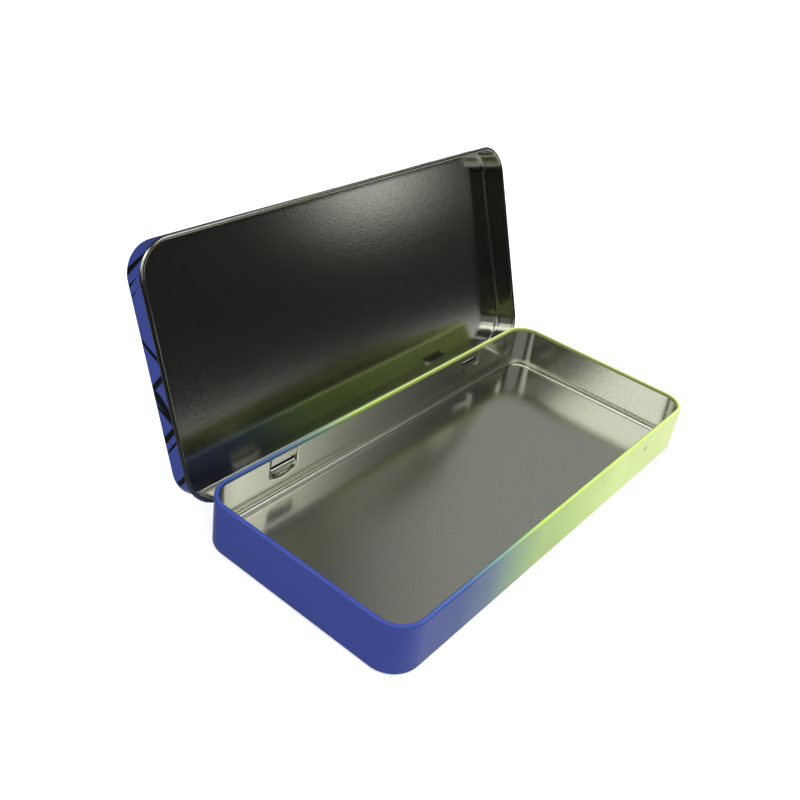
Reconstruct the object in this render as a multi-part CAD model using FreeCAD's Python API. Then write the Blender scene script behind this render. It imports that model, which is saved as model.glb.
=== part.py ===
import FreeCAD, Part
import os
from math import cos, sin, radians
from FreeCAD import Vector as V

# ---------------------------------------------------------------------------
# Hinged rectangular tin box, lid open.  Millimetres, +Z up.
# Origin: centre of the base, on the plane of its foot ring.  +X runs along the length,
# +Y points to the hinge side, -Y is the front with the two snap bumps.
# Two pieces of drawn tinplate: the base tray and the lid.
# ---------------------------------------------------------------------------

# base tray
LENGTH = 190.0          # outside, over the walls
WIDTH = 86.0
HEIGHT = 20.5           # underside to top of rim
CORNER_R = 10.6         # outside corner radius in plan
SHEET = 0.28            # tinplate thickness
BASE_BEND = 1.6         # outside radius where the wall turns under
FOOT_W = 0.35           # flat of the foot ring that the box stands on
PANEL_UP = 1.3          # the bottom panel is pressed up by this much
STEP_DEG = 45.0         # slope between foot ring and panel
STEP_R1 = 0.70          # underside radius at the foot
STEP_R2 = 0.82          # underside radius at the panel
RIM_R = 0.90            # outside radius of the inward rolled rim
RIM_END = -105.0        # where the rolled edge stops, degrees

# lid
LID_GAP = 0.30          # side clearance between base wall and lid wall
LID_TOP_GAP = 0.20      # gap between rim and underside of the closed lid
LID_DEPTH = 10.1        # rim plane to top face
LID_BEND = 1.3          # outside radius round the top face
BEAD_R = 0.75           # outside radius of the outward rolled lid edge
BEAD_END = 105.0        # where the rolled edge stops, degrees
OPEN_DEG = 109.4        # opening angle at the stop

# hinge knuckles: tongues of the base rolled round the lid's rear bead
HINGE_X = 57.0          # centres at +X and -X
TONGUE_W = 12.0
SLOT_W = 12.8           # window in the base wall
SLOT_Z0 = 9.2
SLOT_Z1 = 14.7
LID_SLOT_W = 13.0       # window in the lid's rear wall
LID_SLOT_H = 1.75       # above the hinge axis
RUN_FIT = 0.09          # radial clearance bead to tongue
TONGUE_END = -75.0      # where the rolled tongue stops, degrees

# pressed details of the front walls
BUMP_X = (-53.3, 57.4)  # snap bumps
BUMP_Z = 14.6
BUMP_R = 2.2
BUMP_OUT = 0.20
NOTCH_X = 0.8           # shallow finger groove below the lid's edge
NOTCH_Z = 8.4
NOTCH_RING = 62.0
NOTCH_R = 3.2
NOTCH_IN = 0.28

FLOOR_IN = 6.0          # width of the floor strip carried round with the wall

LID_TOP = HEIGHT + LID_TOP_GAP + SHEET
LID_RIM = LID_TOP - LID_DEPTH
LID_IN = LID_GAP                     # offsets outward from the base wall
LID_OUT = LID_GAP + SHEET
BEAD_O = LID_IN + BEAD_R
AXIS_Y = WIDTH / 2 + BEAD_O
AXIS_Z = LID_RIM + BEAD_R


def pt(o, z):
    """profile point: o outward from the base's outside wall, z up"""
    return V(CORNER_R + o, 0, z)


def on(c, r, deg):
    return pt(c[0] + r * cos(radians(deg)), c[1] + r * sin(radians(deg)))


def arc(c, r, a0, a1):
    """arc from a0 to a1 degrees"""
    return Part.Arc(on(c, r, a0), on(c, r, (a0 + a1) / 2.0), on(c, r, a1)).toShape()


def long_arc(c, r, a0, a1, n=3):
    """arc of more than half a turn as n shorter arcs"""
    s = (a1 - a0) / float(n)
    return [arc(c, r, a0 + i * s, a0 + (i + 1) * s) for i in range(n)]


def seg(p, q):
    return Part.makeLine(p, q)


def face_of(edges):
    w = Part.Wire(Part.__sortEdges__(edges))
    return Part.Face(w)


def ring(face):
    """carry a profile face round the rounded rectangle"""
    hx, hy = LENGTH / 2 - CORNER_R, WIDTH / 2 - CORNER_R
    lx, ly = 2 * hx, 2 * hy
    out = []
    corner = face.revolve(V(0, 0, 0), V(0, 0, 1), 90)
    for k, (sx, sy) in enumerate(((1, 1), (-1, 1), (-1, -1), (1, -1))):
        c = corner.copy()
        c.rotate(V(0, 0, 0), V(0, 0, 1), 90 * k)
        c.translate(V(sx * hx, sy * hy, 0))
        out.append(c)
        f = face.copy()
        f.rotate(V(0, 0, 0), V(0, 0, 1), 90 * k)
        f.translate(V(sx * hx, sy * hy, 0))
        run = (V(0, -ly, 0), V(lx, 0, 0), V(0, ly, 0), V(-lx, 0, 0))[k]
        out.append(f.extrude(run))
    return out


def slab(inset, z0, z1):
    """flat rounded-rectangle plate, inset from the base's outside wall"""
    r = CORNER_R - inset
    hx, hy = LENGTH / 2 - CORNER_R, WIDTH / 2 - CORNER_R
    c = cos(radians(45)) * r
    e = [seg(V(-hx, -hy - r, z0), V(hx, -hy - r, z0)),
         Part.Arc(V(hx, -hy - r, z0), V(hx + c, -hy - c, z0), V(hx + r, -hy, z0)).toShape(),
         seg(V(hx + r, -hy, z0), V(hx + r, hy, z0)),
         Part.Arc(V(hx + r, hy, z0), V(hx + c, hy + c, z0), V(hx, hy + r, z0)).toShape(),
         seg(V(hx, hy + r, z0), V(-hx, hy + r, z0)),
         Part.Arc(V(-hx, hy + r, z0), V(-hx - c, hy + c, z0), V(-hx - r, hy, z0)).toShape(),
         seg(V(-hx - r, hy, z0), V(-hx - r, -hy, z0)),
         Part.Arc(V(-hx - r, -hy, z0), V(-hx - c, -hy - c, z0), V(-hx, -hy - r, z0)).toShape()]
    return Part.Face(Part.Wire(e)).extrude(V(0, 0, z1 - z0))


def box(x0, x1, y0, y1, z0, z1):
    return Part.makeBox(x1 - x0, y1 - y0, z1 - z0, V(x0, y0, z0))


def fuse_all(parts):
    s = parts[0].multiFuse(parts[1:])
    return s.removeSplitter()


# ---------------------------------------------------------------- base tray
rc = (-RIM_R, HEIGHT - RIM_R)
bc = (-BASE_BEND, BASE_BEND)
ri = RIM_R - SHEET
fo = -BASE_BEND - FOOT_W
sc, ss = cos(radians(STEP_DEG)), sin(radians(STEP_DEG))
c1 = (fo, STEP_R1)
run = (PANEL_UP - (1 - sc) * (STEP_R1 + STEP_R2)) / ss
c2 = (fo - ss * (STEP_R1 + STEP_R2) - run * sc, PANEL_UP - STEP_R2)
s1 = (-90 - STEP_DEG, -90)           # angles of the lower arc
s2 = (90 - STEP_DEG, 90)             # angles of the upper arc
edges = [seg(pt(-FLOOR_IN, PANEL_UP), on(c2, STEP_R2, 90)),
         arc(c2, STEP_R2, *s2),
         seg(on(c2, STEP_R2, s2[0]), on(c1, STEP_R1, s1[0])),
         arc(c1, STEP_R1, *s1),
         seg(pt(fo, 0), pt(-BASE_BEND, 0)),
         arc(bc, BASE_BEND, -90, 0),
         seg(pt(0, BASE_BEND), pt(0, HEIGHT - RIM_R))]
edges += long_arc(rc, RIM_R, 0, 180 - RIM_END)
edges += [seg(on(rc, RIM_R, 180 - RIM_END), on(rc, ri, 180 - RIM_END))]
edges += long_arc(rc, ri, 0, 180 - RIM_END)
edges += [seg(pt(-SHEET, HEIGHT - RIM_R), pt(-SHEET, BASE_BEND)),
          arc(bc, BASE_BEND - SHEET, -90, 0),
          seg(pt(-BASE_BEND, SHEET), pt(fo, SHEET)),
          arc(c1, STEP_R1 - SHEET, *s1),
          seg(on(c1, STEP_R1 - SHEET, s1[0]), on(c2, STEP_R2 + SHEET, s2[0])),
          arc(c2, STEP_R2 + SHEET, *s2),
          seg(on(c2, STEP_R2 + SHEET, 90), pt(-FLOOR_IN, PANEL_UP + SHEET)),
          seg(pt(-FLOOR_IN, PANEL_UP + SHEET), pt(-FLOOR_IN, PANEL_UP))]
base = fuse_all(ring(face_of(edges)) + [slab(FLOOR_IN, PANEL_UP, PANEL_UP + SHEET)])

yf = -WIDTH / 2                      # outside of the front wall
yb = WIDTH / 2                       # outside of the rear wall

# snap bumps, pressed outward
for x in BUMP_X:
    c = V(x, yf + BUMP_R - BUMP_OUT, BUMP_Z)
    cap = Part.makeSphere(BUMP_R, c).common(
        box(x - 3, x + 3, yf - 1, yf + SHEET * 0.6, BUMP_Z - 3, BUMP_Z + 3))
    base = base.fuse(cap)
    base = base.cut(Part.makeSphere(BUMP_R - SHEET, c).common(
        box(x - 3, x + 3, yf - 1, yf + SHEET + 0.3, BUMP_Z - 3, BUMP_Z + 3)))

# finger groove, pressed inward
nc = V(NOTCH_X, yf - NOTCH_RING - NOTCH_R + NOTCH_IN, NOTCH_Z)
area = box(NOTCH_X - 12, NOTCH_X + 12, yf + SHEET * 0.4, yf + 3, NOTCH_Z - 4, NOTCH_Z + 4)
outer = Part.makeTorus(NOTCH_RING, NOTCH_R + SHEET, nc, V(0, 0, 1)).common(area)
inner = Part.makeTorus(NOTCH_RING, NOTCH_R, nc, V(0, 0, 1)).common(
    box(NOTCH_X - 12, NOTCH_X + 12, yf - 1, yf + 3, NOTCH_Z - 4, NOTCH_Z + 4))
base = base.fuse(outer).cut(inner)

# hinge windows and tongues
tc = (BEAD_O, AXIS_Z)
t_in = BEAD_R + RUN_FIT
t_out = t_in + SHEET
o_in = BEAD_O - t_in                 # tongue face turned to the bead
o_bk = BEAD_O - t_out                # tongue face turned to the inside
te = [seg(pt(-SHEET, SLOT_Z0 - 1.0), pt(-SHEET, SLOT_Z0)),
      seg(pt(-SHEET, SLOT_Z0), pt(o_bk, SLOT_Z0 + 0.8)),
      seg(pt(o_bk, SLOT_Z0 + 0.8), pt(o_bk, AXIS_Z))]
te += long_arc(tc, t_out, 180, TONGUE_END)
te += [seg(on(tc, t_out, TONGUE_END), on(tc, t_in, TONGUE_END))]
te += long_arc(tc, t_in, 180, TONGUE_END)
te += [seg(pt(o_in, AXIS_Z), pt(o_in, SLOT_Z0 + 0.8)),
       seg(pt(o_in, SLOT_Z0 + 0.8), pt(0, SLOT_Z0)),
       seg(pt(0, SLOT_Z0), pt(0, SLOT_Z0 - 1.0)),
       seg(pt(0, SLOT_Z0 - 1.0), pt(-SHEET, SLOT_Z0 - 1.0))]
tongue = face_of(te).extrude(V(0, TONGUE_W, 0))
tongue.translate(V(-CORNER_R, -TONGUE_W / 2, 0))      # o = x here
tongue.rotate(V(0, 0, 0), V(0, 0, 1), 90)             # outward is now +Y
tongue.translate(V(0, yb, 0))
for s in (-1, 1):
    x = s * HINGE_X
    base = base.cut(box(x - SLOT_W / 2, x + SLOT_W / 2, yb - 1.2, yb + 1, SLOT_Z0 + 0.15, SLOT_Z1))
    t = tongue.copy()
    t.translate(V(x, 0, 0))
    base = base.fuse(t)
base = base.removeSplitter()

# ---------------------------------------------------------------------- lid
lc = (LID_OUT - LID_BEND, LID_TOP - LID_BEND)
kc = (BEAD_O, AXIS_Z)
ki = BEAD_R - SHEET
edges = [seg(pt(-FLOOR_IN, LID_TOP), pt(lc[0], LID_TOP)),
         arc(lc, LID_BEND, 90, 0),
         seg(pt(LID_OUT, lc[1]), pt(LID_OUT, AXIS_Z))]
edges += long_arc(kc, ki, 180, 360 + BEAD_END)
edges += [seg(on(kc, ki, 360 + BEAD_END), on(kc, BEAD_R, 360 + BEAD_END))]
edges += long_arc(kc, BEAD_R, 180, 360 + BEAD_END)
edges += [seg(pt(LID_IN, AXIS_Z), pt(LID_IN, lc[1])),
          arc(lc, LID_BEND - SHEET, 90, 0),
          seg(pt(lc[0], LID_TOP - SHEET), pt(-FLOOR_IN, LID_TOP - SHEET)),
          seg(pt(-FLOOR_IN, LID_TOP - SHEET), pt(-FLOOR_IN, LID_TOP))]
lid = fuse_all(ring(face_of(edges)) + [slab(FLOOR_IN, LID_TOP - SHEET, LID_TOP)])

# snap bumps of the lid's front wall, over those of the base
yl = yf - LID_OUT
for x in BUMP_X:
    c = V(x, yl + BUMP_R - BUMP_OUT, BUMP_Z)
    cap = Part.makeSphere(BUMP_R, c).common(
        box(x - 3, x + 3, yl - 1, yl + SHEET * 0.6, BUMP_Z - 3, BUMP_Z + 3))
    lid = lid.fuse(cap)
    lid = lid.cut(Part.makeSphere(BUMP_R - SHEET, c).common(
        box(x - 3, x + 3, yl - 1, yl + SHEET + 0.25, BUMP_Z - 3, BUMP_Z + 3)))

# windows of the rear wall, where the tongues reach round the bead
for s in (-1, 1):
    x = s * HINGE_X
    lid = lid.cut(box(x - LID_SLOT_W / 2, x + LID_SLOT_W / 2, yb + 0.1, yb + LID_OUT + 0.01,
                      AXIS_Z, AXIS_Z + LID_SLOT_H))
lid = lid.removeSplitter()
lid_closed = lid.copy()
lid.rotate(V(0, AXIS_Y, AXIS_Z), V(1, 0, 0), -OPEN_DEG)

# ------------------------------------------------------------------- export
os.makedirs("parts", exist_ok=True)
for name, shp in (("base", base), ("lid", lid)):
    if shp.ShapeType != "Solid":
        sol = shp.Solids
        print(name, "solids", len(sol))
        shp = sol[0]
    b = shp.BoundBox
    print(name, shp.ShapeType, "valid", shp.isValid(), "volume %.1f" % shp.Volume, "faces", len(shp.Faces),
          "box %.2f %.2f %.2f  %.2f %.2f %.2f" % (b.XMin, b.YMin, b.ZMin, b.XMax, b.YMax, b.ZMax))
    shp.exportStep("parts/%s.step" % name)
print("axis y z", AXIS_Y, AXIS_Z)
for a in (0, 30, 60, 90, 109.4):
    l2 = lid_closed.copy()
    l2.rotate(V(0, AXIS_Y, AXIS_Z), V(1, 0, 0), -a)
    print("opened", a, "overlap", round(l2.common(base).Volume, 4), "distance", round(l2.distToShape(base)[0], 3))
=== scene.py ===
import bpy
import math
import numpy as np
from mathutils import Matrix, Vector


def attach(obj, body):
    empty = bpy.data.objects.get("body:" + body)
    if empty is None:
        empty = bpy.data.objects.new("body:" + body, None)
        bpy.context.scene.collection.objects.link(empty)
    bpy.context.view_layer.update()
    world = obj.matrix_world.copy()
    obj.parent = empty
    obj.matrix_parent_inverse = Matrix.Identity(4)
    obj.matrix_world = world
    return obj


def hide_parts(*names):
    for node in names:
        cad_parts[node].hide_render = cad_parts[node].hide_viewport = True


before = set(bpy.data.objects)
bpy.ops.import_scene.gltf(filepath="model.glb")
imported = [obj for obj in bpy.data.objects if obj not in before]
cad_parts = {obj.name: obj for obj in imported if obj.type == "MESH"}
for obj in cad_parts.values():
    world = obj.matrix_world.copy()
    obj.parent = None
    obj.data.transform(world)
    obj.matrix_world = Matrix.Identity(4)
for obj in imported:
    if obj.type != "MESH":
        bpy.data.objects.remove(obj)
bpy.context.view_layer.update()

# surroundings as the metal sees them: azimuth from -Y towards +X, elevation, degrees
TABLE_R0, TABLE_R1, TABLE_E = 0.33, 0.46, 0.52
LOW_E, MID_E = 0.02, 0.055
BOXES = [(29, 47.0, 5, 25, 45, 4, 2.35),
         (46, 55.0, 3, 24, 34.5, 1.5, 0.30),
         (45.8, 50.2, 3.0, 4.8, 9.6, 1.2, 1.15),
         (-140, -103, 7, 17, 50, 5, 1.58),
         (-138, -4, 7, 52, 66, 3, 2.4),
         (-110, -82, 6, 18, 50, 6, 0.70),
         (84, 126, 8, 24, 52, 7, 0.31),
         (56, 82, 6, 45, 62, 4, 0.9),
         (-62, -2, 8, 14, 54, 6, 0.32),
         (-70, -54, 5, 40, 50, 4, 1.8)]

# ------------------------------------------------------------------ sizes, mm
L, W, H, R = 190.0, 86.0, 20.5, 10.6
T = 0.28
BEND = 1.6
RIM_R = 0.90
RIM_END = -105.0
LID_GAP, LID_TOP_GAP, LID_DEPTH, LID_BEND = 0.30, 0.20, 10.1, 1.3
BEAD_R, BEAD_END = 0.75, 105.0
OPEN = math.radians(109.4)
HINGE_X, TONGUE_W, SLOT_W = 57.0, 12.0, 12.8
SLOT_Z0, SLOT_Z1 = 9.35, 14.7
LID_SLOT_W, LID_SLOT_H = 13.0, 1.75
BUMP_X, BUMP_Z = (-53.3, 57.4), 14.6
NOTCH_X, NOTCH_Z = 0.8, 8.4
FLOOR_IN = 6.0
FOOT_W, PANEL_UP, STEP_DEG, STEP_R1, STEP_R2 = 0.35, 1.3, 45.0, 0.70, 0.82
TONGUE_END_DEG = -75.0
LID_TOP = H + LID_TOP_GAP + T
LID_RIM = LID_TOP - LID_DEPTH
LID_OUT = LID_GAP + T
BEAD_O = LID_GAP + BEAD_R
AXIS_Y, AXIS_Z = W / 2 + BEAD_O, LID_RIM + BEAD_R
T_IN = BEAD_R + 0.09
T_OUT = T_IN + T
HX, HY = L / 2 - R, W / 2 - R
BARE, PRINT, EDGE = 0, 1, 2


def smooth(a, b, v):
    t = min(1.0, max(0.0, (v - a) / (b - a)))
    return t * t * (3 - 2 * t)


# -------------------------------------------------------------- mesh helpers
class Mesh:
    def __init__(self):
        self.v, self.f, self.m = [], [], []

    def vert(self, p):
        self.v.append(tuple(p))
        return len(self.v) - 1

    def quad(self, a, b, c, d, mat):
        ids = []
        for k in (a, b, c, d):
            if not ids or ids[-1] != k:
                ids.append(k)
        if ids[0] == ids[-1]:
            ids.pop()
        if len(ids) > 2:
            self.f.append(tuple(ids))
            self.m.append(mat)

    def face(self, ids, mat):
        self.f.append(tuple(ids))
        self.m.append(mat)

    def build(self, name, mats, body, move=None):
        v = np.array(self.v, float)
        if move is not None:
            v = move(v)
        me = bpy.data.meshes.new(name)
        me.from_pydata((v / 1000.0).tolist(), [], self.f)
        for mt in mats:
            me.materials.append(mt)
        me.polygons.foreach_set("material_index", self.m)
        me.polygons.foreach_set("use_smooth", [True] * len(self.f))
        me.update()
        ob = bpy.data.objects.new(name, me)
        bpy.context.scene.collection.objects.link(ob)
        return ob


def arc_pts(c, r, a0, a1, n):
    return [(c[0] + r * math.cos(math.radians(a0 + (a1 - a0) * i / n)),
             c[1] + r * math.sin(math.radians(a0 + (a1 - a0) * i / n))) for i in range(n + 1)]


def stations(front, rear, side, nc=14):
    """(x, y, nx, ny, tag) round the outline, counter-clockwise from the front left"""
    out = []

    def corner(cx, cy, a0):
        for i in range(1, nc):
            a = math.radians(a0 + 90.0 * i / nc)
            out.append((cx + R * math.cos(a), cy + R * math.sin(a), math.cos(a), math.sin(a), "c"))
    for x in front:
        out.append((x, -W / 2, 0.0, -1.0, "f"))
    corner(HX, -HY, -90)
    for y in side:
        out.append((L / 2, y, 1.0, 0.0, "r"))
    corner(HX, HY, 0)
    for x in reversed(rear):
        out.append((x, W / 2, 0.0, 1.0, "b"))
    corner(-HX, HY, 90)
    for y in reversed(side):
        out.append((-L / 2, y, -1.0, 0.0, "l"))
    corner(-HX, -HY, 180)
    return out


def spread(lo, hi, marks, coarse, must=()):
    """sorted positions from lo to hi, fine near marks: (centre, half width, step)"""
    pos = {round(lo, 4), round(hi, 4)}
    for c, h, s in marks:
        n = int(round(2 * h / s))
        for i in range(n + 1):
            pos.add(round(c - h + 2 * h * i / n, 4))
    for q in must:
        pos.add(round(q, 4))
    pos = sorted(p for p in pos if lo <= p <= hi)
    out = [pos[0]]
    for a, b in zip(pos[:-1], pos[1:]):
        if b - a < 0.06 and b not in must and b != hi:
            continue
        n = max(1, int(math.ceil((b - out[-1]) / coarse)))
        a0 = out[-1]
        for i in range(1, n + 1):
            out.append(a0 + (b - a0) * i / n)
    return out


# --------------------------------------------------- pressed shapes of walls
def front_press(x, z):
    """outward movement of the base's front wall"""
    d = 0.0
    for bx in BUMP_X:
        q = math.hypot((x - bx) / 0.95, (z - BUMP_Z) / 0.95)
        if q < 1.6:
            d += 0.19 * math.exp(-2.2 * q * q) * (1 - smooth(1.1, 1.6, q))
    q = abs(x - NOTCH_X) / 6.6
    if q < 1.0:
        crown = (1 - q * q)
        e = (z - NOTCH_Z) / 1.5
        if abs(e) < 1.0:
            d -= 0.26 * crown * (1 - e * e) ** 1.5
    return d


def pocket(x, z):
    """outward movement of the base's rear wall at the hinges"""
    d = 0.0
    for s in (-1, 1):
        u = abs(x - s * HINGE_X)
        if u < 7.2:
            edge = 1 - smooth(6.15, 6.75, u)
            low = 7.7 + 1.5 * (u / 6.4) ** 2
            d += 0.17 * edge * smooth(low - 0.2, low + 0.7, z) * (1 - smooth(18.3, 18.7, z))
            inner = 1 - smooth(3.6, 6.2, u)
            d += 0.26 * inner * smooth(low, low + 1.7, z) * (1 - smooth(9.4, 10.6, z))
    return d


WALL_Z = sorted(set([1.6, 2.4, 3.6, 5.0, 6.2, 6.8] + [round(7.1 + 0.35 * i, 3) for i in range(7)] +
                    [SLOT_Z0, 9.8, 10.3, 10.9, 11.6, 12.3] + [round(12.9 + 0.3 * i, 3) for i in range(6)] +
                    [SLOT_Z1, 15.05, 15.4, 15.8, 16.3, 17.0, 17.8, 18.3, 18.7, 19.2, 19.6]))


def base_mesh():
    m = Mesh()
    rc, bc, ri = (-RIM_R, H - RIM_R), (-BEND, BEND), RIM_R - T
    hinge_cols = []
    for s in (-1, 1):
        for e in (TONGUE_W / 2, SLOT_W / 2):
            hinge_cols += [s * HINGE_X - e, s * HINGE_X + e]
    front = spread(-HX, HX, [(b, 2.0, 0.2) for b in BUMP_X] + [(NOTCH_X, 7.2, 0.45)], 6.0)
    rear = spread(-HX, HX, [(s * HINGE_X, 7.4, 0.4) for s in (-1, 1)], 6.0, must=[round(c, 4) for c in hinge_cols])
    st = stations(front, rear, spread(-HY, HY, [], 6.0))
    # step between the foot ring and the raised panel
    sc, ss = math.cos(math.radians(STEP_DEG)), math.sin(math.radians(STEP_DEG))
    fo = -BEND - FOOT_W
    run = (PANEL_UP - (1 - sc) * (STEP_R1 + STEP_R2)) / ss
    c1 = (fo, STEP_R1)
    c2 = (fo - ss * (STEP_R1 + STEP_R2) - run * sc, PANEL_UP - STEP_R2)
    # outside of the sheet: panel, step, bend, wall, rolled rim to its end
    out = [(-FLOOR_IN, PANEL_UP), (-4.6, PANEL_UP)] + arc_pts(c2, STEP_R2, 90, 90 - STEP_DEG, 5)
    out += arc_pts(c1, STEP_R1, -90 - STEP_DEG, -90, 5) + arc_pts(bc, BEND, -90, 0, 8)
    k_out = len(out) - 1                                   # first wall row, z = BEND
    out += [(0.0, z) for z in WALL_Z[1:-1]]
    out += arc_pts(rc, RIM_R, 0, 180 - RIM_END, 26)
    # inside of the sheet, from the end of the roll back to the floor
    inn = list(reversed(arc_pts(rc, ri, 0, 180 - RIM_END, 22)))
    k_inn = len(inn)
    inn += [(-T, z) for z in reversed(WALL_Z[1:-1])]
    inn += list(reversed(arc_pts(bc, BEND - T, -90, 0, 8)))
    inn += arc_pts(c1, STEP_R1 - T, -90, -90 - STEP_DEG, 5) + arc_pts(c2, STEP_R2 + T, 90 - STEP_DEG, 90, 7)
    inn += [(-4.6, PANEL_UP + T), (-FLOOR_IN, PANEL_UP + T)]
    prof = out + inn
    no = len(out)
    grid = []
    for (x, y, nx, ny, tag) in st:
        col = []
        for (o, z) in prof:
            d = 0.0
            if tag == "f" and 1.6 < z < 19.5 and o > -1.0:
                d = front_press(x, z)
            if tag == "b" and 1.6 < z < 19.5 and o > -1.0:
                d = pocket(x, z)
            col.append(m.vert((x + nx * (o + d), y + ny * (o + d), z)))
        grid.append(col)
    n, p = len(st), len(prof)
    jo = {z: k_out + i for i, z in enumerate(WALL_Z[:-1])}          # outside rows
    ji = {z: no + k_inn + (len(WALL_Z) - 2 - i) for i, z in enumerate(WALL_Z[:-1]) if i > 0}
    o0, o1 = jo[SLOT_Z0], jo[SLOT_Z1]
    i0, i1 = ji[SLOT_Z0], ji[SLOT_Z1]                                # i0 > i1

    def in_slot(xa, xb):
        c = (xa + xb) / 2
        return any(abs(c - s * HINGE_X) < SLOT_W / 2 for s in (-1, 1))

    def in_tongue(xa, xb):
        c = (xa + xb) / 2
        return any(abs(c - s * HINGE_X) < TONGUE_W / 2 for s in (-1, 1))
    slot_seg = [st[i][4] == "b" and st[(i + 1) % n][4] == "b" and in_slot(st[i][0], st[(i + 1) % n][0]) for i in range(n)]
    ton_seg = [slot_seg[i] and in_tongue(st[i][0], st[(i + 1) % n][0]) for i in range(n)]
    for i in range(n):
        a, b = grid[i], grid[(i + 1) % n]
        for j in range(p - 1):
            if slot_seg[i] and (o0 <= j < o1 or i1 <= j < i0):
                continue
            mat = PRINT if j < no - 1 else (EDGE if j == no - 1 else BARE)
            m.quad(a[j], b[j], b[j + 1], a[j + 1], mat)
    # flat middle of the floor, both faces
    m.face([grid[i][0] for i in reversed(range(n))], PRINT)
    m.face([grid[i][p - 1] for i in range(n)], BARE)
    # window edges
    for i in range(n):
        q = (i + 1) % n
        if slot_seg[i]:
            a, b = grid[i], grid[q]
            m.quad(a[o1], b[o1], b[i1], a[i1], EDGE)
            if not ton_seg[i]:
                m.quad(b[o0], a[o0], a[i0], b[i0], EDGE)
            if not slot_seg[i - 1]:
                for k in range(o1 - o0):
                    m.quad(a[o0 + k], a[o0 + k + 1], a[i0 - k - 1], a[i0 - k], EDGE)
            if not slot_seg[q]:
                for k in range(o1 - o0):
                    m.quad(b[o0 + k + 1], b[o0 + k], b[i0 - k], b[i0 - k - 1], EDGE)
    # tongues: bare face inside and over the top, printed face against the bead
    tc = (BEAD_O, AXIS_Z)
    bare_prof, prt_prof = [], []
    d0 = None
    na = 30
    cols = [i for i in range(n) if ton_seg[i] or ton_seg[i - 1]]
    prev = None
    for i in cols:
        x = st[i][0]
        u = abs(abs(x) - HINGE_X)
        d = pocket(x, SLOT_Z0)
        start_b, start_p = (-T + d, SLOT_Z0), (d, SLOT_Z0)
        # hollow below the roll, deepest in the middle
        deep = 0.30 * (1 - smooth(3.4, 5.9, u))
        a_in = 206.0
        jb = [(start_b[0] + (0.10 + deep) * math.sin(math.pi * 0.5 * t), SLOT_Z0 + (10.75 - SLOT_Z0) * t) for t in (0.3, 0.6, 0.85)]
        rb = arc_pts(tc, T_OUT, a_in, TONGUE_END_DEG, na)
        rp = arc_pts(tc, T_IN, a_in, TONGUE_END_DEG, na)
        e = rb[0]
        blend = []
        for (o, z), t in zip(jb, (0.3, 0.6, 0.85)):
            blend.append(((o * (1 - t * t) + e[0] * t * t) + 0.12 * deep / 0.3 * math.sin(math.pi * t), z * (1 - t * t) + (e[1] - 0.08) * t * t))
        chain_b = blend + rb
        chain_p = [(o + T, z - 0.05) for (o, z) in blend] + rp
        # crease between the two ridges of the roll
        cb = []
        for (o, z) in chain_b:
            g = math.exp(-((z - 11.95) / 0.13) ** 2)
            cb.append((o + (0.16 * g if o < 0.4 else 0.0), z))
        vb = [grid[i][i0]] + [m.vert((x, W / 2 + o, z)) for (o, z) in cb]
        vp = [grid[i][o0]] + [m.vert((x, W / 2 + o, z)) for (o, z) in chain_p]
        cur = (i, vb, vp)
        if prev is not None and ton_seg[prev[0]] and prev[0] == i - 1:
            _, pb, pp = prev
            for k in range(len(vb) - 1):
                m.quad(pb[k + 1], vb[k + 1], vb[k], pb[k], BARE)
                m.quad(pp[k], vp[k], vp[k + 1], pp[k + 1], PRINT)
            m.quad(pp[-1], vp[-1], vb[-1], pb[-1], EDGE)
        if not (ton_seg[i - 1]):
            for k in range(len(vb) - 1):
                m.quad(vb[k], vb[k + 1], vp[k + 1], vp[k], EDGE)
        if not ton_seg[i]:
            for k in range(len(vb) - 1):
                m.quad(vp[k], vp[k + 1], vb[k + 1], vb[k], EDGE)
        prev = cur
    return m





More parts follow.
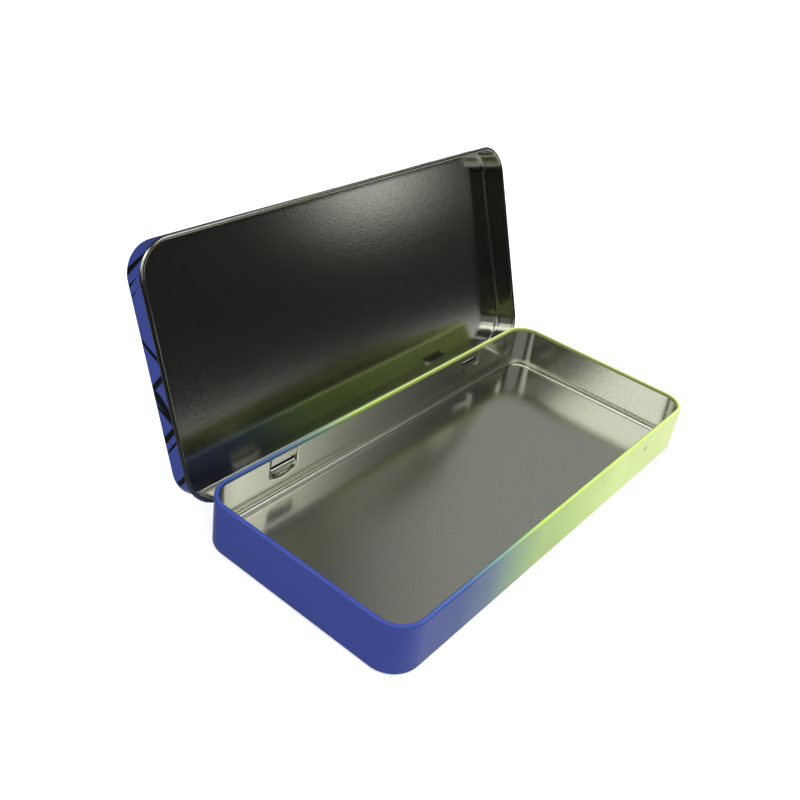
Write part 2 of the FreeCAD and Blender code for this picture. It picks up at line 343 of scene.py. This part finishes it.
def lid_mesh():
    m = Mesh()
    lc, kc, ki = (LID_OUT - LID_BEND, LID_TOP - LID_BEND), (BEAD_O, AXIS_Z), BEAD_R - T
    zt = AXIS_Z + LID_SLOT_H
    must = []
    for s in (-1, 1):
        must += [s * HINGE_X - LID_SLOT_W / 2, s * HINGE_X + LID_SLOT_W / 2]
    front = spread(-HX, HX, [(b, 1.8, 0.3) for b in BUMP_X], 6.0)
    rear = spread(-HX, HX, [(s * HINGE_X, 6.5, 1.3) for s in (-1, 1)], 6.0, must=[round(c, 4) for c in must])
    st = stations(front, rear, spread(-HY, HY, [], 6.0))
    wz = [zt] + [round(13.6 + 0.3 * i, 3) for i in range(8)] + [16.2, 17.2, 18.4]
    out = [(-FLOOR_IN, LID_TOP), (-3.2, LID_TOP)] + arc_pts(lc, LID_BEND, 90, 0, 8)
    out += [(LID_OUT, z) for z in reversed(wz)]
    a_out = len(out) - 1
    out += arc_pts(kc, ki, 180, 360 + BEAD_END, 22)
    inn = arc_pts(kc, BEAD_R, 360 + BEAD_END, 180, 26)
    a_inn = len(inn)
    inn += [(LID_GAP, z) for z in wz]
    inn += arc_pts(lc, LID_BEND - T, 0, 90, 6)
    inn += [(-3.2, LID_TOP - T), (-FLOOR_IN, LID_TOP - T)]
    prof = out + inn
    no = len(out)
    grid = []
    for (x, y, nx, ny, tag) in st:
        col = []
        for (o, z) in prof:
            d = 0.0
            if tag == "f" and 13.0 < z < 17.0 and o < 0.7:
                for bx in BUMP_X:
                    q = math.hypot((x - bx) / 0.95, (z - BUMP_Z) / 0.95)
                    if q < 1.6:
                        d += 0.19 * math.exp(-2.2 * q * q) * (1 - smooth(1.1, 1.6, q))
            col.append(m.vert((x + nx * (o + d), y + ny * (o + d), z)))
        grid.append(col)
    n, p = len(st), len(prof)
    o_top, o_bot = a_out, a_out + 1
    i_bot, i_top = no + a_inn - 1, no + a_inn
    slot_seg = []
    for i in range(n):
        q = (i + 1) % n
        c = (st[i][0] + st[q][0]) / 2
        slot_seg.append(st[i][4] == "b" and st[q][4] == "b" and any(abs(c - s * HINGE_X) < LID_SLOT_W / 2 for s in (-1, 1)))
    for i in range(n):
        q = (i + 1) % n
        a, b = grid[i], grid[q]
        for j in range(p - 1):
            if slot_seg[i] and (j == o_top or j == i_bot):
                continue
            mat = PRINT if j < no - 1 else (EDGE if j == no - 1 else BARE)
            m.quad(b[j], a[j], a[j + 1], b[j + 1], mat)
        if slot_seg[i]:
            m.quad(b[o_top], a[o_top], a[i_top], b[i_top], EDGE)
            m.quad(a[o_bot], b[o_bot], b[i_bot], a[i_bot], EDGE)
            if not slot_seg[i - 1]:
                m.quad(a[o_bot], a[o_top], a[i_top], a[i_bot], EDGE)
            if not slot_seg[q]:
                m.quad(b[o_top], b[o_bot], b[i_bot], b[i_top], EDGE)
    m.face([grid[i][0] for i in range(n)], PRINT)
    m.face([grid[i][p - 1] for i in reversed(range(n))], BARE)
    return m


def open_lid(v):
    c, s = math.cos(OPEN), math.sin(OPEN)
    w = v.copy()
    dy, dz = v[:, 1] - AXIS_Y, v[:, 2] - AXIS_Z
    w[:, 1] = AXIS_Y + c * dy + s * dz
    w[:, 2] = AXIS_Z - s * dy + c * dz
    return w


# ----------------------------------------------------------------- materials
def mat_nodes(name):
    mt = bpy.data.materials.new(name)
    mt.use_nodes = True
    nt = mt.node_tree
    nt.nodes.clear()
    out = nt.nodes.new("ShaderNodeOutputMaterial")
    bs = nt.nodes.new("ShaderNodeBsdfPrincipled")
    nt.links.new(bs.outputs[0], out.inputs[0])
    return mt, nt, bs


def node(nt, kind, **kw):
    nd = nt.nodes.new(kind)
    for k, v in kw.items():
        if k in nd.inputs.keys():
            nd.inputs[k].default_value = v
        else:
            setattr(nd, k, v)
    return nd


def math_node(nt, op, a, b=None, c=None, clamp=False):
    nd = nt.nodes.new("ShaderNodeMath")
    nd.operation = op
    nd.use_clamp = clamp
    for i, v in enumerate((a, b, c)):
        if v is None:
            continue
        if isinstance(v, (int, float)):
            nd.inputs[i].default_value = v
        else:
            nt.links.new(v, nd.inputs[i])
    return nd.outputs[0]


def ease(nt, v, lo, hi, a=0.0, b=1.0):
    """smooth step of v from lo to hi, giving a to b"""
    nd = nt.nodes.new("ShaderNodeMapRange")
    nd.interpolation_type = "SMOOTHSTEP"
    for k, q in (("From Min", lo), ("From Max", hi), ("To Min", a), ("To Max", b)):
        nd.inputs[k].default_value = q
    nt.links.new(v, nd.inputs["Value"])
    return nd.outputs[0]


def window(nt, v, lo, hi, soft):
    return math_node(nt, "MULTIPLY", ease(nt, v, lo - soft, lo + soft), ease(nt, v, hi - soft, hi + soft, 1.0, 0.0))


def plate_edge(name):
    """cut edge of the sheet, darker and duller than its faces"""
    mt, nt, bs = mat_nodes(name)
    tc = node(nt, "ShaderNodeTexCoord")
    fine = node(nt, "ShaderNodeTexNoise", Scale=900.0, Detail=3.0)
    nt.links.new(tc.outputs["Object"], fine.inputs["Vector"])
    nt.links.new(ease(nt, fine.outputs["Fac"], 0.3, 0.7, 0.30, 0.45), bs.inputs["Roughness"])
    nt.links.new(mix(nt, fine.outputs["Fac"], (0.16, 0.16, 0.14, 1), (0.30, 0.30, 0.27, 1)), bs.inputs["Base Color"])
    bs.inputs["Metallic"].default_value = 1.0
    return mt


def tinplate(name):
    mt, nt, bs = mat_nodes(name)
    lk = nt.links.new
    tc = node(nt, "ShaderNodeTexCoord")
    fine = node(nt, "ShaderNodeTexNoise", Scale=2600.0, Detail=3.0, Roughness=0.6)
    mid = node(nt, "ShaderNodeTexNoise", Scale=1150.0, Detail=2.0, Roughness=0.5)
    wavy = node(nt, "ShaderNodeTexNoise", Scale=22.0, Detail=1.0, Roughness=0.4)
    for nd in (fine, mid, wavy):
        lk(tc.outputs["Object"], nd.inputs["Vector"])
    ramp = node(nt, "ShaderNodeMapRange")
    ramp.inputs["From Min"].default_value, ramp.inputs["From Max"].default_value = 0.3, 0.7
    ramp.inputs["To Min"].default_value, ramp.inputs["To Max"].default_value = 0.10, 0.17
    lk(fine.outputs["Fac"], ramp.inputs["Value"])
    col = node(nt, "ShaderNodeMix", data_type="RGBA")
    col.inputs[6].default_value = (0.50, 0.51, 0.455, 1)
    col.inputs[7].default_value = (0.67, 0.68, 0.61, 1)
    lk(ease(nt, fine.outputs["Fac"], 0.36, 0.64), col.inputs[0])
    # painted shade: inside the hinge slots no light comes back out, so the metal there is coloured near black
    sep = node(nt, "ShaderNodeSeparateXYZ")
    lk(tc.outputs["Object"], sep.inputs[0])
    off = math_node(nt, "ABSOLUTE", math_node(nt, "SUBTRACT", math_node(nt, "ABSOLUTE", sep.outputs["X"]), HINGE_X / 1000))
    slot_shade = math_node(nt, "MULTIPLY", ease(nt, off, 0.0063, 0.0068, 1.0, 0.0), ease(nt, sep.outputs["Y"], 0.04335, 0.04360))
    slot_shade = math_node(nt, "MULTIPLY", slot_shade, window(nt, sep.outputs["Z"], 0.0119, 0.0165, 0.0002))
    slot_shade = math_node(nt, "MULTIPLY", slot_shade, ease(nt, sep.outputs["Y"], 0.0468, 0.0472, 1.0, 0.0))
    lk(mix(nt, slot_shade, col.outputs[2], (0.02, 0.02, 0.02, 1)), bs.inputs["Base Color"])
    # the bottom of the tray is worn a little duller than the walls
    low = ease(nt, sep.outputs["Z"], 0.0017, 0.0030, 0.045, 0.0)
    lk(math_node(nt, "ADD", ramp.outputs[0], low), bs.inputs["Roughness"])
    bs.inputs["Metallic"].default_value = 1.0
    b0 = node(nt, "ShaderNodeBump", Strength=1.0, Distance=0.00003)
    lk(wavy.outputs["Fac"], b0.inputs["Height"])
    b1 = node(nt, "ShaderNodeBump", Strength=1.0, Distance=0.000013)
    lk(mid.outputs["Fac"], b1.inputs["Height"])
    lk(b0.outputs[0], b1.inputs["Normal"])
    b2 = node(nt, "ShaderNodeBump", Strength=1.0, Distance=0.000009)
    lk(fine.outputs["Fac"], b2.inputs["Height"])
    lk(b1.outputs[0], b2.inputs["Normal"])
    lk(b2.outputs[0], bs.inputs["Normal"])
    return mt


# print along the length of the tin: millimetres from the middle, colour. The blue to green is the print; the further
# brightening of the green towards +x is painted light, the key light's falloff put into the colour
WALL_STOPS = [(-95, (0.03, 0.05, 0.24)), (-68, (0.03, 0.06, 0.22)), (-50, (0.09, 0.15, 0.21)), (-20, (0.33, 0.47, 0.15)),
              (5, (0.40, 0.54, 0.16)), (35, (0.54, 0.68, 0.24)), (95, (0.62, 0.73, 0.30))]
# brighter copy of the print for the rim's crown, a painted highlight
RIM_LIT_STOPS = [(-95, (0.04, 0.07, 0.42)), (-64, (0.09, 0.18, 0.42)), (-40, (0.26, 0.45, 0.31)), (-20, (0.60, 0.88, 0.18)),
             (20, (0.66, 0.86, 0.22)), (95, (0.76, 0.92, 0.29))]


def x_ramp(nt, x, stops):
    mr = nt.nodes.new("ShaderNodeMapRange")
    mr.inputs["From Min"].default_value, mr.inputs["From Max"].default_value = -0.095, 0.095
    nt.links.new(x, mr.inputs["Value"])
    cr = nt.nodes.new("ShaderNodeValToRGB")
    nt.links.new(mr.outputs[0], cr.inputs["Fac"])
    el = cr.color_ramp.elements
    pts = [((x0 + 95.0) / 190.0, c) for x0, c in stops]
    el[0].position, el[0].color = pts[0][0], pts[0][1] + (1,)
    el[1].position, el[1].color = pts[-1][0], pts[-1][1] + (1,)
    for q, c in pts[1:-1]:
        e = el.new(q)
        e.color = c + (1,)
    return cr.outputs["Color"]


def outward(nt, sep):
    """how far the surface faces away from the middle of the tin: 1 outside, 0 level, -1 inside"""
    geo = node(nt, "ShaderNodeNewGeometry")
    out = nt.nodes.new("ShaderNodeCombineXYZ")
    for axis, half in (("X", HX), ("Y", HY)):
        over = math_node(nt, "MAXIMUM", math_node(nt, "SUBTRACT", math_node(nt, "ABSOLUTE", sep.outputs[axis]), half / 1000), 0.0)
        nt.links.new(math_node(nt, "MULTIPLY", over, math_node(nt, "SIGN", sep.outputs[axis])), out.inputs[axis])
    unit = node(nt, "ShaderNodeVectorMath", operation="NORMALIZE")
    nt.links.new(out.outputs[0], unit.inputs[0])
    dot = node(nt, "ShaderNodeVectorMath", operation="DOT_PRODUCT")
    nt.links.new(unit.outputs[0], dot.inputs[0])
    nt.links.new(geo.outputs["Normal"], dot.inputs[1])
    return dot.outputs["Value"]


def mix(nt, fac, a, b):
    nd = nt.nodes.new("ShaderNodeMix")
    nd.data_type = "RGBA"
    for k, v in ((0, fac), (6, a), (7, b)):
        if isinstance(v, tuple):
            nd.inputs[k].default_value = v
        elif isinstance(v, float):
            nd.inputs[k].default_value = v
        else:
            nt.links.new(v, nd.inputs[k])
    return nd.outputs[2]


def printed(name, lid=False):
    """gloss print over the tin: blue to green along the length; the lid also has black brush strokes"""
    mt, nt, bs = mat_nodes(name)
    lk = nt.links.new
    tc = node(nt, "ShaderNodeTexCoord")
    vec = tc.outputs["Object"]
    if lid:                                    # back to the closed position
        vr = nt.nodes.new("ShaderNodeVectorRotate")
        vr.rotation_type = "X_AXIS"
        vr.inputs["Center"].default_value = (0.0, AXIS_Y / 1000, AXIS_Z / 1000)
        vr.inputs["Angle"].default_value = OPEN
        lk(vec, vr.inputs["Vector"])
        vec = vr.outputs[0]
    sep = node(nt, "ShaderNodeSeparateXYZ")
    lk(vec, sep.inputs[0])
    soft = node(nt, "ShaderNodeTexNoise", Scale=18.0, Detail=2.0, Roughness=0.5)
    lk(vec, soft.inputs["Vector"])
    wob = math_node(nt, "MULTIPLY_ADD", soft.outputs["Fac"], 0.010, -0.005)
    x = math_node(nt, "ADD", sep.outputs["X"], wob)
    col = x_ramp(nt, x, WALL_STOPS)
    if not lid:                                # painted highlight and shade: the rolled rim gets a brighter copy of the print on its crown and is darkened where it turns in
        turn = outward(nt, sep)
        high = ease(nt, sep.outputs["Z"], 0.0189, 0.0193)
        col = mix(nt, math_node(nt, "MULTIPLY", high, ease(nt, turn, 0.45, 0.80, 1.0, 0.0)), col, x_ramp(nt, x, RIM_LIT_STOPS))
        fold_shade = math_node(nt, "MULTIPLY", high, ease(nt, turn, -0.80, -0.30, 1.0, 0.0))
        dim = node(nt, "ShaderNodeVectorMath", operation="SCALE")
        lk(col, dim.inputs[0])
        dim.inputs["Scale"].default_value = 0.40
        col = mix(nt, fold_shade, col, dim.outputs[0])
    tone = node(nt, "ShaderNodeTexNoise", Scale=60.0, Detail=0.0)
    lk(vec, tone.inputs["Vector"])
    shade = ease(nt, tone.outputs["Fac"], 0.3, 0.7, 0.965, 1.02)
    vm = node(nt, "ShaderNodeVectorMath", operation="SCALE")
    lk(col, vm.inputs[0])
    lk(shade, vm.inputs["Scale"])
    col = vm.outputs[0]
    if not lid:                                # the two catch dimples in the front wall: painted shade round their edge, centred a little below them
        front = ease(nt, sep.outputs["Y"], -0.0428, -0.0424, 1.0, 0.0)
        for bx in BUMP_X:
            u = math_node(nt, "MULTIPLY_ADD", sep.outputs["X"], 1 / 0.0013, -bx / 1.3)
            v = math_node(nt, "MULTIPLY_ADD", sep.outputs["Z"], 1 / 0.0010, -(BUMP_Z - 0.25) / 1.0)
            q = math_node(nt, "SQRT", math_node(nt, "ADD", math_node(nt, "MULTIPLY", u, u), math_node(nt, "MULTIPLY", v, v)))
            dimple_shade = math_node(nt, "MULTIPLY", math_node(nt, "MULTIPLY", window(nt, q, 0.45, 1.0, 0.25), front), 0.85)
            col = mix(nt, dimple_shade, col, (0.10, 0.12, 0.07, 1))
    if lid:
        ink_mask = strokes(nt, vec, sep)
        col = mix(nt, ink_mask, col, (0.004, 0.005, 0.003, 1))
    lk(col, bs.inputs["Base Color"])
    bs.inputs["Metallic"].default_value = 0.0
    bs.inputs["Specular IOR Level"].default_value = 0.3
    bs.inputs["Coat Weight"].default_value = 0.3
    bs.inputs["Coat Roughness"].default_value = 0.10
    bs.inputs["Roughness"].default_value = 0.31
    return mt


def strokes(nt, vec, sep):
    """mask of loose slanted brush strokes, thick and thin, most of them in pairs"""
    lk = nt.links.new
    bend = node(nt, "ShaderNodeTexNoise", Scale=17.0, Detail=1.0)
    lk(vec, bend.inputs["Vector"])
    edge = node(nt, "ShaderNodeTexNoise", Scale=170.0, Detail=2.0)
    lk(vec, edge.inputs["Vector"])
    gate = node(nt, "ShaderNodeTexNoise", Scale=40.0, Detail=1.0)
    shift = node(nt, "ShaderNodeVectorMath", operation="ADD")
    shift.inputs[1].default_value = (0.31, 0.17, 0.43)
    lk(vec, shift.inputs[0])
    lk(shift.outputs[0], gate.inputs["Vector"])
    total = None
    for n, (kx, ky, kz, period, wide, warp, g0, g1, few) in enumerate(STROKES):
        s = math_node(nt, "MULTIPLY", sep.outputs["X"], kx / period)
        s = math_node(nt, "MULTIPLY_ADD", sep.outputs["Y"], ky / period, s)
        s = math_node(nt, "MULTIPLY_ADD", sep.outputs["Z"], kz / period, s)
        s = math_node(nt, "MULTIPLY_ADD", bend.outputs["Fac"], warp, s)
        s = math_node(nt, "MULTIPLY_ADD", edge.outputs["Fac"], 0.05, s)
        cell = math_node(nt, "ADD", math_node(nt, "FLOOR", s), 17.3 * (n + 1))
        rnd = node(nt, "ShaderNodeTexWhiteNoise", noise_dimensions="1D")
        lk(cell, rnd.inputs["W"])
        f = math_node(nt, "FRACT", s)
        room = ease(nt, gate.outputs["Fac"], g0, g1, -0.03, 1.0)
        for at, size, limit in ((0.34, 1.0, few), (0.58, 0.55, few + 0.15), (0.74, 0.30, few + 0.45)):
            d = math_node(nt, "ABSOLUTE", math_node(nt, "SUBTRACT", f, at))
            on = math_node(nt, "GREATER_THAN", rnd.outputs["Value"], limit)
            w_ = math_node(nt, "MULTIPLY", math_node(nt, "MULTIPLY", room, on), wide * size)
            m = ease(nt, math_node(nt, "SUBTRACT", w_, d), 0.0, 0.012)
            total = m if total is None else math_node(nt, "MAXIMUM", total, m)
    return total


# direction (x, y, z), spacing in metres, half width, bend, where strokes start and are full, share left out
STROKES = [(0.28, 1.0, -0.75, 0.0190, 0.072, 0.9, 0.26, 0.42, 0.10),
           (-0.20, 1.0, 0.95, 0.0230, 0.050, 0.7, 0.42, 0.52, 0.25),
           (1.0, 0.35, 0.60, 0.0260, 0.050, 1.1, 0.40, 0.52, 0.20)]

tin = tinplate("tinplate")
edge = plate_edge("sheet_edge")
ink = printed("print_base")
ink_lid = printed("print_lid", True)

base = base_mesh().build("base_tray", [tin, ink, edge], "base")
lid = lid_mesh().build("lid_pan", [tin, ink_lid, edge], "lid", open_lid)
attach(base, "base")
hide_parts("base")
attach(lid, "lid")
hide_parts("lid")

# --------------------------------------------------------------- camera
az, el, roll, dist = math.radians(-55.304), math.radians(32.42), math.radians(9.151), 0.400987
fwd = Vector((-math.sin(az) * math.cos(el), math.cos(az) * math.cos(el), -math.sin(el)))
right0 = Vector((math.cos(az), math.sin(az), 0.0))
up0 = right0.cross(fwd)
right = right0 * math.cos(roll) + up0 * math.sin(roll)
up = up0 * math.cos(roll) - right0 * math.sin(roll)
pos = Vector((0.0256, 0.054905, -0.000314)) - fwd * dist
cam_d = bpy.data.cameras.new("camera")
cam = bpy.data.objects.new("camera", cam_d)
bpy.context.scene.collection.objects.link(cam)
cam.matrix_world = Matrix(((right.x, up.x, -fwd.x, pos.x), (right.y, up.y, -fwd.y, pos.y), (right.z, up.z, -fwd.z, pos.z), (0, 0, 0, 1)))
cam_d.sensor_fit = "HORIZONTAL"
cam_d.sensor_width = 36.0
cam_d.lens = 933.26 / 800.0 * 36.0
cam_d.clip_start, cam_d.clip_end = 0.01, 50.0
bpy.context.scene.camera = cam

# --------------------------------------------------------------- stage
bpy.context.scene.view_settings.view_transform = "Standard"


def plain(name, color, rough=0.9):
    mt, nt, bs = mat_nodes(name)
    bs.inputs["Base Color"].default_value = color + (1,)
    bs.inputs["Roughness"].default_value = rough
    bs.inputs["Specular IOR Level"].default_value = 0.0
    return mt


def panel(name, verts, mat):
    me = bpy.data.meshes.new(name)
    me.from_pydata(verts, [], [tuple(range(len(verts)))])
    me.materials.append(mat)
    me.update()
    ob = bpy.data.objects.new(name, me)
    bpy.context.scene.collection.objects.link(ob)
    return ob


def emitter(name):
    mt = bpy.data.materials.new(name)
    mt.use_nodes = True
    nt = mt.node_tree
    nt.nodes.clear()
    out = nt.nodes.new("ShaderNodeOutputMaterial")
    em = nt.nodes.new("ShaderNodeEmission")
    nt.links.new(em.outputs[0], out.inputs[0])
    return mt, nt, em


floor = panel("floor", [(-6, -6, 0), (6, -6, 0), (6, 6, 0), (-6, 6, 0)], plain("floor", (0.88, 0.88, 0.88)))
floor.visible_glossy = False
floor.data.materials[0].node_tree.nodes["Principled BSDF"].inputs["Emission Color"].default_value = (1, 1, 1, 1)
floor.data.materials[0].node_tree.nodes["Principled BSDF"].inputs["Emission Strength"].default_value = 0.5

# the table round the tin as its metal sees it: pale near by, dark further off, and dimmer left of the tin, a painted
# shadow of the tin
mt, nt, em = emitter("table_near")
tc = node(nt, "ShaderNodeTexCoord")
ln = node(nt, "ShaderNodeVectorMath", operation="LENGTH")
nt.links.new(tc.outputs["Object"], ln.inputs[0])
tsep = node(nt, "ShaderNodeSeparateXYZ")
nt.links.new(tc.outputs["Object"], tsep.inputs[0])
lit = math_node(nt, "MULTIPLY", ease(nt, ln.outputs["Value"], TABLE_R0, TABLE_R1, TABLE_E, 0.02),
                ease(nt, tsep.outputs["X"], -0.104, -0.076, 0.10, 1.0))
nt.links.new(lit, em.inputs["Strength"])
table = panel("table_near", [(-6, -6, -0.0015), (6, -6, -0.0015), (6, 6, -0.0015), (-6, 6, -0.0015)], mt)
table.visible_camera = table.visible_diffuse = table.visible_shadow = False

# the room as the metal sees it: dim, with two soft boxes
mt, nt, em = emitter("room")
tc = node(nt, "ShaderNodeTexCoord")
nz = node(nt, "ShaderNodeVectorMath", operation="NORMALIZE")
nt.links.new(tc.outputs["Object"], nz.inputs[0])
sep = node(nt, "ShaderNodeSeparateXYZ")
nt.links.new(nz.outputs[0], sep.inputs[0])
elev = math_node(nt, "MULTIPLY", math_node(nt, "ARCSINE", sep.outputs["Z"]), 180 / math.pi)
neg_y = math_node(nt, "MULTIPLY", sep.outputs["Y"], -1.0)
azim = math_node(nt, "MULTIPLY", math_node(nt, "ARCTAN2", sep.outputs["X"], neg_y), 180 / math.pi)
total = ease(nt, elev, 12.0, 30.0, LOW_E, MID_E)
for (a0, a1, asoft, e0, e1, esoft, power) in BOXES:
    wdw = math_node(nt, "MULTIPLY", window(nt, azim, a0, a1, asoft), window(nt, elev, e0, e1, esoft))
    total = math_node(nt, "ADD", total, math_node(nt, "MULTIPLY", wdw, power))
total = math_node(nt, "MAXIMUM", total, 0.02)
nt.links.new(total, em.inputs["Strength"])
em.inputs["Color"].default_value = (1.0, 1.0, 0.97, 1)
rings, segs, rad = 16, 32, 9.0
vs = [(rad * math.cos(math.pi * (j / rings - 0.5)) * math.cos(2 * math.pi * i / segs),
       rad * math.cos(math.pi * (j / rings - 0.5)) * math.sin(2 * math.pi * i / segs),
       rad * math.sin(math.pi * (j / rings - 0.5))) for j in range(1, rings) for i in range(segs)]
vs += [(0, 0, -rad), (0, 0, rad)]
lo, hi = len(vs) - 2, len(vs) - 1
fs = [(j * segs + i, j * segs + (i + 1) % segs, (j + 1) * segs + (i + 1) % segs, (j + 1) * segs + i)
      for j in range(rings - 2) for i in range(segs)]
fs += [(lo, (i + 1) % segs, i) for i in range(segs)]
fs += [(hi, (rings - 2) * segs + i, (rings - 2) * segs + (i + 1) % segs) for i in range(segs)]
me = bpy.data.meshes.new("room")
me.from_pydata(vs, [], fs)
me.materials.append(mt)
me.update()
room = bpy.data.objects.new("room", me)
bpy.context.scene.collection.objects.link(room)
room.visible_camera = room.visible_diffuse = room.visible_shadow = room.visible_transmission = False


def area(name, loc, target, size, power, color=(1, 1, 1)):
    d = bpy.data.lights.new(name, "AREA")
    d.shape = "RECTANGLE"
    d.size, d.size_y = size
    d.energy = power
    d.color = color
    ob = bpy.data.objects.new(name, d)
    ob.location = loc
    q = (Vector(target) - Vector(loc)).to_track_quat("-Z", "Y")
    ob.rotation_euler = q.to_euler()
    bpy.context.scene.collection.objects.link(ob)
    ob.visible_glossy = False
    return ob


area("key", (0.7, -0.9, 1.3), (0, 0, 0), (1.3, 1.3), 9)
w = bpy.data.worlds.new("world")
bpy.context.scene.world = w
w.use_nodes = True
w.node_tree.nodes["Background"].inputs[0].default_value = (1.0, 1.0, 1.0, 1)
w.node_tree.nodes["Background"].inputs[1].default_value = 1.05
